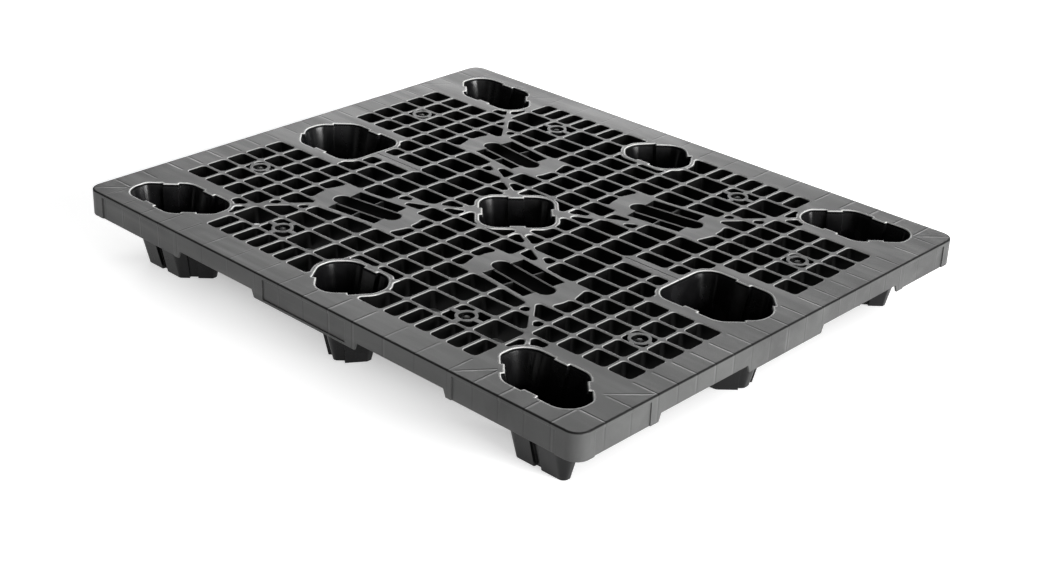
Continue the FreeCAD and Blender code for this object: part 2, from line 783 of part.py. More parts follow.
def window_cutters():
    """Fork windows: the skirt between them is deep, the skirt in them is shallow."""
    slant = dim("window_slant")
    over = slant / (RIB_FOOT - SKIRT_FOOT) * OVERRUN
    low = SKIRT_FOOT - OVERRUN
    reach = HALF_X + OVERRUN
    cutters = []
    for axis in ("x", "y"):
        near, far = dim(f"window_{axis}_near"), dim(f"window_{axis}_far")
        foot = ((near - over, low), (far + over, low))
        head = ((far - slant, RIB_FOOT), (near + slant, RIB_FOOT))
        for side in (1, -1):
            if axis == "x":
                corners = [Vector(place * side, -reach, z) for place, z in foot + head]
                through = Vector(0, 2 * reach, 0)
            else:
                corners = [Vector(-reach, place * side, z) for place, z in foot + head]
                through = Vector(2 * reach, 0, 0)
            face = Part.Face(Part.makePolygon(corners + corners[:1]))
            cutters.append(face.extrude(through))
    return cutters


def panel_cutters():
    """Recessed panels in the skirt's faces. The middle ones leave a lip at the foot, and the
    ones beside the corners run out of it."""
    depth = dim("panel_depth")
    high = TOP - dim("panel_top")
    lip = SKIRT_FOOT + dim("panel_lip")
    open_foot = SKIRT_FOOT - OVERRUN
    middle, near_x, far_x = dim("panel_half"), dim("panel_x_near"), dim("panel_x_far")
    spans = (
        (-middle, middle, lip),
        (near_x, far_x, open_foot),
        (-far_x, -near_x, open_foot),
    )
    cutters = []
    for x0, x1, low in spans:
        for y in (-HALF_Y - OVERRUN, HALF_Y - depth):
            cutters.append(Part.makeBox(x1 - x0, depth + OVERRUN, high - low, Vector(x0, y, low)))
    length = dim("panel_y_far") - dim("panel_y_near")
    for y in (dim("panel_y_near"), -dim("panel_y_far")):
        for x in (-HALF_X - OVERRUN, HALF_X - depth):
            base = Vector(x, y, open_foot)
            cutters.append(Part.makeBox(depth + OVERRUN, length, high - open_foot, base))
    return cutters


def groove_cutters():
    """The line along the middle of each solid band."""
    width, depth = dim("groove_width"), dim("groove_depth")
    near = dim("spine_tip") + dim("groove_inset")
    far = END[-1][0] - dim("groove_inset")
    return [
        Part.makeBox(far - near, width, depth + OVERRUN, Vector(start, -width / 2, TOP - depth))
        for start in (near, -far)
    ]


# -------------------------------------------------------------- document: deck


def bind(thing, **properties):
    """Binds a document object's properties to the sheet."""
    for name, expression in properties.items():
        thing.setExpression(name.replace("__", "."), expression)


def slab(name, low, high, inset="0"):
    """A box of the deck's plan between two heights, its sides moved in by inset."""
    box = doc.addObject("Part::Box", name)
    bind(
        box,
        Length=f"dims.deck_length - 2 * {inset}",
        Width=f"dims.deck_width - 2 * {inset}",
        Height=f"({high}) - ({low})",
        Placement__Base__x=f"-dims.deck_length / 2 + {inset}",
        Placement__Base__y=f"-dims.deck_width / 2 + {inset}",
        Placement__Base__z=low,
    )
    doc.recompute()
    return box


def rounded(base, name, radius, wanted):
    """Part::Fillet on the edges of base for which wanted(edge) is true."""
    fillet = doc.addObject("Part::Fillet", name)
    fillet.Base = base
    edges = [n for n, edge in enumerate(base.Shape.Edges, start=1) if wanted(edge)]
    fillet.Edges = [(n, radius, radius) for n in edges]
    doc.recompute()
    return fillet


def is_upright(edge):
    ends = [vertex.Point for vertex in edge.Vertexes]
    return len(ends) == 2 and abs(ends[0].z - ends[1].z) > 1


def at_top(edge):
    return edge.BoundBox.ZMin > TOP - 0.01


def cutter_feature(name, shapes):
    feature = doc.addObject("Part::Feature", name)
    feature.Shape = Part.makeCompound(shapes)
    return feature


def boolean(kind, name, base, tool):
    result = doc.addObject(kind, name)
    result.Base = base
    result.Tool = tool
    return result


def build_deck():
    top, depth, skirt = "dims.overall_height", "dims.rib_depth", "dims.skirt_depth"
    plate = slab("deck_slab", f"{top} - {depth}", top)
    plate = rounded(plate, "deck_slab_corners", dim("corner_round"), is_upright)
    plate = rounded(plate, "deck_slab_edge", dim("top_edge_round"), at_top)
    skirt_block = slab("skirt_block", f"{top} - {skirt}", f"{top} - {depth}")
    skirt_block = rounded(skirt_block, "skirt_corners", dim("corner_round"), is_upright)
    thin = "(dims.skirt_wall - dims.rib_draft)"
    skirt_hole = slab("skirt_hole", f"{top} - {skirt} - {OVERRUN}", f"{top} - {depth}", thin)
    hole_round = dim("corner_round") - dim("skirt_wall")
    skirt_hole = rounded(skirt_hole, "skirt_hole_corners", hole_round, is_upright)
    ring = boolean("Part::Cut", "skirt_ring", skirt_block, skirt_hole)
    for number, window in enumerate(window_cutters(), start=1):
        tool = cutter_feature(f"fork_window_{number}", [window])
        ring = boolean("Part::Cut", f"skirt_cut_{number}", ring, tool)
    body = boolean("Part::Fuse", "deck_and_skirt", plate, ring)
    body.Refine = True
    shallow = panel_cutters() + groove_cutters() + in_all_quadrants(drop_cutters())
    body = boolean("Part::Cut", "deck_recesses_cut", body, cutter_feature("deck_recesses", shallow))
    deep = in_all_quadrants(open_cutters() + pocket_cutters() + boss_cutters() + slot_cutters())
    deep += opening_cutters()
    deck = boolean("Part::Cut", "deck_cut", body, cutter_feature("deck_openings", deep))
    deck.Label = "deck"
    doc.recompute()
    return deck


# -------------------------------------------------------------- document: legs


def leg_outline(outline, z, inset=0.0):
    """A leg's cross-section at height z, moved in by inset. The walls lean in towards the
    foot, and the sides of the tabs don't."""
    rim = dim("leg_top_grow") - inset
    return grown(outline, rim - (SHEET_UNDER - z) * LEG_DRAFT, rim)


def section(name, outline, z, height=None):
    """A sketch of one cross-section, on the ground or lifted to a height bound to the sheet."""
    sketch = doc.addObject("Sketcher::SketchObject", name)
    sketch.addGeometry(outline_edges(outline, 0), False)
    sketch.Placement = FreeCAD.Placement(Vector(0, 0, z), FreeCAD.Rotation())
    if height:
        sketch.setExpression("Placement.Base.z", height)
    return sketch


def loft(name, sections):
    result = doc.addObject("Part::Loft", name)
    result.Sections = sections
    result.Solid = True
    result.Ruled = True
    return result


def build_leg(name, outline, catches):
    """A tapered cup with strips pressed into its walls, two catches and a drain."""
    wall = dim("leg_wall")
    floor = dim("leg_floor")
    rim = "dims.overall_height - dims.sheet_thick"
    outer = loft(
        f"{name}_outside",
        [
            section(f"{name}_foot", leg_outline(outline, 0), 0),
            section(f"{name}_rim", leg_outline(outline, SHEET_UNDER), SHEET_UNDER, rim),
        ],
    )
    above = SHEET_UNDER + OVERRUN
    inner = loft(
        f"{name}_inside",
        [
            section(f"{name}_floor", leg_outline(outline, floor, wall), floor, "dims.leg_floor"),
            section(f"{name}_mouth", leg_outline(outline, above, wall), above, f"{rim} + {OVERRUN}"),
        ],
    )
    tips = cutter_feature(f"{name}_catches", [catch_box(place, CATCH_ROOT, 0) for place in catches])
    solid = boolean("Part::Fuse", f"{name}_with_catches", outer, tips)
    solid = boolean("Part::Cut", f"{name}_hollowed", solid, inner)
    drain = doc.addObject("Part::Cylinder", f"{name}_drain")
    middle = sum((Vector(x, y, 0) for x, y, _, _ in outline), Vector()) * (1 / len(outline))
    drain.Placement = FreeCAD.Placement(Vector(middle.x, middle.y, -OVERRUN), FreeCAD.Rotation())
    bind(drain, Radius="dims.drain_radius", Height=f"dims.leg_floor + 2 * {OVERRUN}")
    leg = boolean("Part::Cut", f"{name}_cup", solid, drain)
    leg.Label = name
    return leg


# ------------------------------------------------------------- document: plugs


def plane_of(body, role):
    return next(f for f in body.Origin.OriginFeatures if f.Role == role)


def plug_profile(sketch):
    """Half section of a plug: a disc with a domed middle, its axis on the sketch's Y."""
    radius, body = dim("plug_radius"), dim("plug_body")
    dome_r, dome_h = dim("plug_dome_radius"), dim("plug_dome_height")
    foot = Vector(0, 0, 0)
    rim_low = Vector(radius, 0, 0)
    rim_high = Vector(radius, body, 0)
    dome_edge = Vector(dome_r, body, 0)
    dome_top = Vector(0, body + dome_h, 0)
    bulge = (dome_r**2 + dome_h**2) / (2 * dome_h)
    centre = Vector(0, body + dome_h - bulge, 0)
    start = math.atan2(body - centre.y, dome_r)
    sketch.addGeometry(Part.LineSegment(foot, rim_low))
    sketch.addGeometry(Part.LineSegment(rim_low, rim_high))
    sketch.addGeometry(Part.LineSegment(rim_high, dome_edge))
    sketch.addGeometry(Part.ArcOfCircle(Part.Circle(centre, Vector(0, 0, 1), bulge), start, math.pi / 2))
    sketch.addGeometry(Part.LineSegment(dome_top, foot))
    for edge in range(5):
        sketch.addConstraint(Sketcher.Constraint("Coincident", edge, 2, (edge + 1) % 5, 1))
    sketch.addConstraint(Sketcher.Constraint("Coincident", 0, 1, -1, 1))
    for edge, direction in ((0, "Horizontal"), (1, "Vertical"), (2, "Horizontal"), (4, "Vertical")):
        sketch.addConstraint(Sketcher.Constraint(direction, edge))
    sizes = (
        ("DistanceX", (0, 1, 0, 2), radius, "dims.plug_radius"),
        ("DistanceY", (1, 1, 1, 2), body, "dims.plug_body"),
        ("DistanceX", (0, 1, 3, 1), dome_r, "dims.plug_dome_radius"),
        ("DistanceY", (0, 1, 3, 2), body + dome_h, "dims.plug_body + dims.plug_dome_height"),
    )
    for kind, ends, value, expression in sizes:
        index = sketch.addConstraint(Sketcher.Constraint(kind, *ends, value))
        sketch.setExpression(f"Constraints[{index}]", expression)
    sketch.addConstraint(Sketcher.Constraint("PointOnObject", 3, 3, -2))


def build_plug(number, x, y):
    """A rubber plug, revolved, standing on the seat in its boss."""
    body = doc.addObject("PartDesign::Body", f"grip_plug_{number}_body")
    body.Label = f"grip_plug_{number}"
    sketch = body.newObject("Sketcher::SketchObject", f"plug_profile_{number}")
    sketch.AttachmentSupport = [(plane_of(body, "XZ_Plane"), "")]
    sketch.MapMode = "FlatFace"
    plug_profile(sketch)
    turned = body.newObject("PartDesign::Revolution", f"plug_turned_{number}")
    turned.Profile = sketch
    turned.ReferenceAxis = (sketch, ["V_Axis"])
    turned.Angle = 360.0
    body.Tip = turned
    body.Placement = FreeCAD.Placement(Vector(x, y, TOP - dim("seat_depth")), FreeCAD.Rotation())
    body.setExpression("Placement.Base.z", "dims.overall_height - dims.seat_depth")
    return body


# ------------------------------------------------------------- build and write


def build_all():
    parts = [build_deck()]
    for name, outline, catches in LEGS:
        parts.append(build_leg(name, outline, catches))
    number = 0
    for side_x, side_y in QUADRANTS:
        for x, y, _ in BOSSES:
            number += 1
            parts.append(build_plug(number, x * side_x, y * side_y))
    doc.recompute()
    return parts


def check(parts):
    """Stops on any failed object, and on a sub-part that isn't one valid solid."""
    for thing in doc.Objects:
        if "Invalid" in thing.State or "Error" in thing.State:
            raise RuntimeError(f"{thing.Name} failed: {thing.State}")
    for part in parts:
        shape = part.Shape
        if shape.isNull() or not shape.isValid() or len(shape.Solids) != 1:
            raise RuntimeError(f"{part.Label}: {len(shape.Solids)} solids, valid {shape.isValid()}")


def write(parts):
    os.makedirs("parts", exist_ok=True)
    for part in parts:
        part.Shape.exportStep(f"parts/{part.Label}.step")
        print(f"{part.Label}: {part.Shape.Volume / 1e6:.4f} litres, {len(part.Shape.Faces)} faces")


parts = build_all()
check(parts)
write(parts)
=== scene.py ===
import math

import bpy
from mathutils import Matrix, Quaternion, Vector


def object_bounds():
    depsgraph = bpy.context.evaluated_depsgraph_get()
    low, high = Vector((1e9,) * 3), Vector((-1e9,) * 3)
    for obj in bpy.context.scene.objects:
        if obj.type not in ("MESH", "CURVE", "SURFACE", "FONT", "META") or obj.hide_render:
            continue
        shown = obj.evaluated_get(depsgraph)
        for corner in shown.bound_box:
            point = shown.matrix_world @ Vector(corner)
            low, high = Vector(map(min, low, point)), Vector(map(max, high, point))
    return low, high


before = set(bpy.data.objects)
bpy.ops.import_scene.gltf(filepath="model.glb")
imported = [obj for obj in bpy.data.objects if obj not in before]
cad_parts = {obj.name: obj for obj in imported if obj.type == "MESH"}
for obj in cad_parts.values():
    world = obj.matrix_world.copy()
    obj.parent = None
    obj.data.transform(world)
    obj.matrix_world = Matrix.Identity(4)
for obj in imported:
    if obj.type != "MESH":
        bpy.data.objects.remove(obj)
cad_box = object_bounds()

# The pallet stands on z = 0 with its long side along X.  Every length is in metres.

LOWEST, HIGHEST = cad_box
DECK_TOP = HIGHEST.z
HALF_LENGTH = HIGHEST.x
HALF_WIDTH = HIGHEST.y

# ---- camera: where it stands round the pallet, in degrees, and what it looks at ----
AZIMUTH = 42.63
ELEVATION = 26.23
ROLL = 2.13
DISTANCE = 3.029
AIM = Vector((0.2145, -0.2065, DECK_TOP))
LENS_MM = 62.18
SENSOR_MM = 36.0

# ---- light and floor ----
ROOM_GLOW = 0.14
LIGHTS = (  # name, azimuth, elevation, strength, and the width of its disc in degrees
    ("key", 99.0, 9.0, 8.8, 36.0),
    ("top", 200.0, 65.0, 0.3, 90.0),
    ("sheen", 221.0, 5.0, 1.15, 36.0),
    ("fill", 43.0, 10.0, 0.25, 40.0),
)
FLOOR_REACH = 80.0
FLOOR_GLOW = 0.45  # the floor glows, a painted light which keeps the shadows on it pale
FLOOR_SEEN = 0.74  # that glow as the camera sees it
UNDER_PALLET = (0.0, 0.28)  # from here to here in under the deck, the floor gets a painted shadow: its glow fades and it gets darker

# ---- deck: ribs that run on under the solid border and read through it ----
RIBS_ALONG_X = (0.0, 0.061, 0.122, 0.1945, 0.267, 0.3395, 0.393, 0.4465, 0.5, 0.5535)
RIBS_ALONG_Y = (0.0, 0.048, 0.096, 0.1425, 0.189, 0.2355, 0.282, 0.3285, 0.38825, 0.448)
BORDER_STARTS_X = 0.557
BORDER_STARTS_Y = 0.4515
# Marks of the slanted ribs beside the corner legs, each from a point to a point.  They are
# given for the half with x above 0, and the other half is the same turned half round.
SLANTED_MARKS = (
    ((0.560, 0.455), (0.604, 0.501)),
    ((0.553, -0.387), (0.604, -0.333)),
    ((0.389, -0.450), (0.349, -0.500)),
)
MARK_HALF_WIDTH = 0.0028
HIGHLIGHT_SHIFT = 0.0032  # each mark has a painted highlight line this far beside it
FAINT = 0.4  # how strong the marks are on the skirt
CORNER_ROUND = 0.026
OUTER_ROUND = 0.0028  # the rounded top edge, all round the deck
BEVEL_DEPTH = 0.0016  # the bevel round each opening, which gets a painted highlight
RIM_HIGHLIGHT_WIDTH = 0.0055  # the painted highlight on the deck's rim round each leg's opening is this wide
OUTER_BAND_DEPTH = 0.0018  # the painted shade inside the deck is full from this far down from the deck's top and this far in from the skirt's face
SKIRT_DEPTH = 0.0045  # and this far in from the skirt's face
EDGE_RADIUS = 0.0015  # how round every edge looks
QUARTER = ("leg_centre", "leg_side_rear", "leg_end_right", "leg_corner_rear_right")
CROWN = (0.0045, 0.0015)  # a plug's crown gets a painted highlight starting, and full, this far below the top

# ---- surface grain, metres high ----
DECK_GRAIN = 0.00006
SINK_DEPTH = 0.0005
DRAW_LINES = 0.00008
RUBBER_GRAIN = 0.00005
FLOOR_GRAIN = 0.00002

# ---- how much light a surface mirrors ----
DECK_SPECULAR = 0.5
# the deck's inside, under its painted shade, mirrors less
INSIDE_SPECULAR = 0.12
GLOSSY_SPECULAR = 0.3
FLOOR_SPECULAR = 0.2
FLOOR_ROUGHNESS = 0.8
RIM_SMOOTHER = 0.14  # how much smoother the painted-highlight rims are than the deck

# ---- colours, linear ----
DECK_GREY = (0.054, 0.055, 0.054)
DECK_CLOUD = (0.082, 0.083, 0.081)
DECK_SHADE = (0.034, 0.034, 0.034)
DECK_LINE = (0.008, 0.008, 0.008)
# painted highlight beside each sink mark
DECK_MARK_HIGHLIGHT = (0.13, 0.13, 0.128)
# painted highlight on the bevels and edges round the openings and cells
DECK_EDGE_HIGHLIGHT = (0.34, 0.34, 0.335)
# painted highlight on the deck's rims round the leg openings
DECK_RIM_HIGHLIGHT = (0.66, 0.66, 0.65)
# painted shade on the deck's cell walls and underside
DECK_PAINTED_SHADE = (0.0035, 0.0035, 0.0035)
LEG_BLACK = (0.0035, 0.0035, 0.0038)
LEG_WORN = (0.013, 0.013, 0.014)
PLUG_BLACK = (0.0035, 0.0035, 0.0035)
# painted highlight on each plug's crown
PLUG_CROWN_HIGHLIGHT = (0.045, 0.045, 0.044)
FLOOR_WHITE = (0.86, 0.86, 0.86)
FLOOR_CLOUD = (0.82, 0.82, 0.82)
FLOOR_SHADED = (0.22, 0.22, 0.22)


def turned(azimuth, elevation):
    """The unit vector from the pallet towards a place at this azimuth and elevation, in degrees."""
    around, up = math.radians(azimuth), math.radians(elevation)
    flat = math.cos(up)
    return Vector((math.sin(around) * flat, -math.cos(around) * flat, math.sin(up)))


# ---------------------------------------------------------------- camera and light


def make_camera():
    data = bpy.data.cameras.new("camera")
    data.lens = LENS_MM
    data.sensor_width = SENSOR_MM
    data.clip_start = 0.05
    data.clip_end = 200.0
    camera = bpy.data.objects.new("camera", data)
    bpy.context.scene.collection.objects.link(camera)
    back = turned(AZIMUTH, ELEVATION)
    camera.location = AIM + back * DISTANCE
    camera.rotation_mode = "QUATERNION"
    level = (-back).to_track_quat("-Z", "Y")
    camera.rotation_quaternion = level @ Quaternion((0.0, 0.0, 1.0), math.radians(ROLL))
    bpy.context.scene.camera = camera


def make_sun(name, azimuth, elevation, strength, spread):
    """A soft studio light: the same strength everywhere, seen as a disc spread degrees wide."""
    data = bpy.data.lights.new(name, "SUN")
    data.energy = strength
    data.angle = math.radians(spread)
    light = bpy.data.objects.new(name, data)
    bpy.context.scene.collection.objects.link(light)
    light.rotation_mode = "QUATERNION"
    light.rotation_quaternion = (-turned(azimuth, elevation)).to_track_quat("-Z", "Y")


def make_world(glow):
    """A dim even room, which the camera sees as plain white behind the pallet where the floor ends."""
    world = bpy.data.worlds.new("studio")
    bpy.context.scene.world = world
    world.use_nodes = True
    tree = world.node_tree
    tree.nodes.clear()
    path = tree.nodes.new("ShaderNodeLightPath")
    strength = tree.nodes.new("ShaderNodeMapRange")
    tree.links.new(path.outputs["Is Camera Ray"], strength.inputs["Value"])
    strength.inputs["To Min"].default_value = glow
    strength.inputs["To Max"].default_value = 1.0
    background = tree.nodes.new("ShaderNodeBackground")
    background.inputs["Color"].default_value = (1.0, 1.0, 1.0, 1.0)
    tree.links.new(strength.outputs["Result"], background.inputs["Strength"])
    output = tree.nodes.new("ShaderNodeOutputWorld")
    tree.links.new(background.outputs["Background"], output.inputs["Surface"])


# ---------------------------------------------------------------- node helpers


class Shader:
    """A material's node tree with short calls that add a node and return its output socket."""

    def __init__(self, name):
        self.material = bpy.data.materials.new(name)
        self.material.use_nodes = True
        self.tree = self.material.node_tree
        self.tree.nodes.clear()
        self.place = self.add("TexCoord").outputs["Object"]
        self.normal = self.add("NewGeometry").outputs["Normal"]

    def add(self, kind, **settings):
        made = self.tree.nodes.new("ShaderNode" + kind)
        for name, value in settings.items():
            setattr(made, name, value)
        return made

    def feed(self, socket, value):
        if isinstance(value, bpy.types.NodeSocket):
            self.tree.links.new(value, socket)
        elif isinstance(value, tuple) and len(value) == 3 and socket.type == "RGBA":
            socket.default_value = (*value, 1.0)
        else:
            socket.default_value = value

    def maths(self, operation, *values):
        made = self.add("Math", operation=operation)
        for socket, value in zip(made.inputs, values):
            self.feed(socket, value)
        return made.outputs[0]

    def vector(self, operation, *values):
        made = self.add("VectorMath", operation=operation)
        for socket, value in zip(made.inputs, values):
            self.feed(socket, value)
        kind = "Value" if operation in ("DOT_PRODUCT", "LENGTH") else "Vector"
        return made.outputs[kind]

    def parts(self, vector):
        made = self.add("SeparateXYZ")
        self.feed(made.inputs[0], vector)
        return made.outputs

    def ramp(self, value, start, end, low=0.0, high=1.0):
        """Goes smoothly from low to high as value goes from start to end."""
        made = self.add("MapRange", interpolation_type="SMOOTHSTEP")
        given = {"Value": value, "From Min": start, "From Max": end, "To Min": low, "To Max": high}
        for name, fed in given.items():
            self.feed(made.inputs[name], fed)
        return made.outputs["Result"]

    def noise(self, scale, detail=3.0, stretch=(1.0, 1.0, 1.0), warp=0.0):
        """Noise from 0 to 1, scale features to the metre, drawn out along an axis with a small stretch."""
        made = self.add("TexNoise")
        self.feed(made.inputs["Vector"], self.vector("MULTIPLY", self.place, stretch))
        for name, fed in {"Scale": scale, "Detail": detail, "Distortion": warp}.items():
            self.feed(made.inputs[name], fed)
        return made.outputs["Fac"]

    def blend(self, share, first, second):
        made = self.add("Mix", data_type="RGBA")
        colours = [socket for socket in made.inputs if socket.type == "RGBA"]
        self.feed(made.inputs["Factor"], share)
        self.feed(colours[0], first)
        self.feed(colours[1], second)
        return [socket for socket in made.outputs if socket.type == "RGBA"][0]

    def bump(self, height, depth, normal):
        made = self.add("Bump")
        self.feed(made.inputs["Strength"], 1.0)
        self.feed(made.inputs["Distance"], depth)
        self.feed(made.inputs["Height"], height)
        self.feed(made.inputs["Normal"], normal)
        return made.outputs["Normal"]

    def soft_edges(self, radius):
        """The normal of the same surface with its edges rounded off."""
        made = self.add("Bevel", samples=4)
        self.feed(made.inputs["Radius"], radius)
        return made.outputs["Normal"]

    def edge_mask(self, rounded, flat=0.99, edge=0.80):
        """1 on an edge, 0 on a flat, from how far the rounded normal leans from the real one."""
        return self.ramp(self.vector("DOT_PRODUCT", rounded, self.normal), flat, edge)

    def plastic(self, colour, roughness, normal, specular, glow=0.0):
        made = self.add("BsdfPrincipled")
        given = {
            "Base Color": colour,
            "Roughness": roughness,
            "Normal": normal,
            "Specular IOR Level": specular,
            "Emission Color": (1.0, 1.0, 1.0),
            "Emission Strength": glow,
        }
        for name, fed in given.items():
            self.feed(made.inputs[name], fed)
        output = self.add("OutputMaterial")
        self.tree.links.new(made.outputs["BSDF"], output.inputs["Surface"])
        return self.material


# ---------------------------------------------------------------- materials


def near_a_line(shader, value, lines):
    """1 where value is on one of the lines, 0 a short way off."""
    nearest = 1.0
    for line in lines:
        gap = shader.maths("ABSOLUTE", shader.maths("SUBTRACT", value, line))
        nearest = shader.maths("MINIMUM", gap, nearest)
    return shader.ramp(nearest, MARK_HALF_WIDTH, 0.0)


def near_a_stretch(shader, point, start, end):
    """1 on the straight stretch from start to end, 0 a short way off.  All are level."""
    start, end = Vector((*start, 0.0)), Vector((*end, 0.0))
    run = end - start
    come = shader.vector("SUBTRACT", point, tuple(start))
    share = shader.vector("DOT_PRODUCT", come, tuple(run / run.length_squared))
    share = shader.maths("MAXIMUM", shader.maths("MINIMUM", share, 1.0), 0.0)
    nearest = shader.vector("MULTIPLY", tuple(run), share)
    gap = shader.vector("LENGTH", shader.vector("SUBTRACT", come, nearest))
    return shader.ramp(gap, MARK_HALF_WIDTH, 0.0)


def straight_marks(shader, across, along, shift):
    """Sink marks over the ribs that run on under the border and down behind the skirt; moved aside by
    shift, the lines that carry a painted highlight.
    """
    on_long = shader.ramp(along, BORDER_STARTS_Y, BORDER_STARTS_Y + MARK_HALF_WIDTH)
    on_short = shader.ramp(across, BORDER_STARTS_X, BORDER_STARTS_X + MARK_HALF_WIDTH)
    shifted_x = shader.maths("SUBTRACT", across, shift)
    shifted_y = shader.maths("SUBTRACT", along, shift)
    over_long = shader.maths("MULTIPLY", near_a_line(shader, shifted_x, RIBS_ALONG_X), on_long)
    over_short = shader.maths("MULTIPLY", near_a_line(shader, shifted_y, RIBS_ALONG_Y), on_short)
    return shader.maths("MAXIMUM", over_long, over_short)


def slanted_marks(shader, place):
    """Sink marks over the slanted ribs beside the corner legs."""
    side = shader.maths("SIGN", place["X"])
    level = shader.add("CombineXYZ")
    shader.feed(level.inputs["X"], shader.maths("MULTIPLY", place["X"], side))
    shader.feed(level.inputs["Y"], shader.maths("MULTIPLY", place["Y"], side))
    marks = 0.0
    for start, end in SLANTED_MARKS:
        mark = near_a_stretch(shader, level.outputs[0], start, end)
        marks = shader.maths("MAXIMUM", mark, marks)
    return marks


def past_the_faces(shader, across, along):
    """How far out a point is from the deck's outer faces and round corners, in metres."""
    past = []
    for value, half in ((across, HALF_LENGTH), (along, HALF_WIDTH)):
        over = shader.maths("MAXIMUM", shader.maths("SUBTRACT", value, half - CORNER_ROUND), 0.0)
        past.append(shader.maths("MULTIPLY", over, over))
    return shader.maths("SUBTRACT", shader.maths("SQRT", shader.maths("ADD", *past)), CORNER_ROUND)


def over_a_leg(shader, across, along, legs):
    """1 on the part of the deck that lies over a leg, given as the legs' middles and half sizes."""
    deepest = -1.0
    for middle, half in legs:
        off_x = shader.maths("ABSOLUTE", shader.maths("SUBTRACT", across, middle.x))
        off_y = shader.maths("ABSOLUTE", shader.maths("SUBTRACT", along, middle.y))
        in_x = shader.maths("SUBTRACT", half.x, off_x)
        in_y = shader.maths("SUBTRACT", half.y, off_y)
        deepest = shader.maths("MAXIMUM", shader.maths("MINIMUM", in_x, in_y), deepest)
    return shader.ramp(deepest, -0.001, 0.0)


def deck_painted_light(shader, height, out, rounded, over_legs):
    """Masks, by name, for the deck's painted shade and painted highlights, from the height and the way out
    to its faces.
    """
    on_top = shader.ramp(height, DECK_TOP - OUTER_BAND_DEPTH, DECK_TOP - OUTER_BAND_DEPTH / 3)
    on_side = shader.ramp(out, -SKIRT_DEPTH, -OUTER_BAND_DEPTH)
    tilt = shader.parts(shader.normal)["Z"]
    sloping = shader.maths("MULTIPLY", shader.ramp(tilt, 0.2, 0.5), shader.ramp(tilt, 0.97, 0.88))
    off_the_rim = shader.ramp(out, -OUTER_ROUND, -OUTER_ROUND - BEVEL_DEPTH)
    near_top = shader.ramp(height, DECK_TOP - BEVEL_DEPTH, DECK_TOP - BEVEL_DEPTH / 2)
    top_edge = shader.ramp(height, DECK_TOP - OUTER_ROUND, DECK_TOP - OUTER_ROUND / 2)
    rim_highlights = shader.edge_mask(shader.soft_edges(RIM_HIGHLIGHT_WIDTH), 0.997, 0.95)
    rim_highlights = shader.maths("MULTIPLY", rim_highlights, over_legs)
    edges = shader.maths("MULTIPLY", shader.edge_mask(rounded, 0.99, 0.92), off_the_rim)
    return {
        "unshaded_outside": shader.maths("MAXIMUM", on_top, on_side),
        "bevel_highlights": shader.maths("MULTIPLY", sloping, shader.maths("MULTIPLY", off_the_rim, near_top)),
        "outer_shade_line": shader.maths("MULTIPLY", top_edge, shader.maths("SUBTRACT", 1.0, off_the_rim)),
        "rim_highlights": shader.maths("MULTIPLY", rim_highlights, on_top),
        "edges": shader.maths("MULTIPLY", edges, on_top),
    }


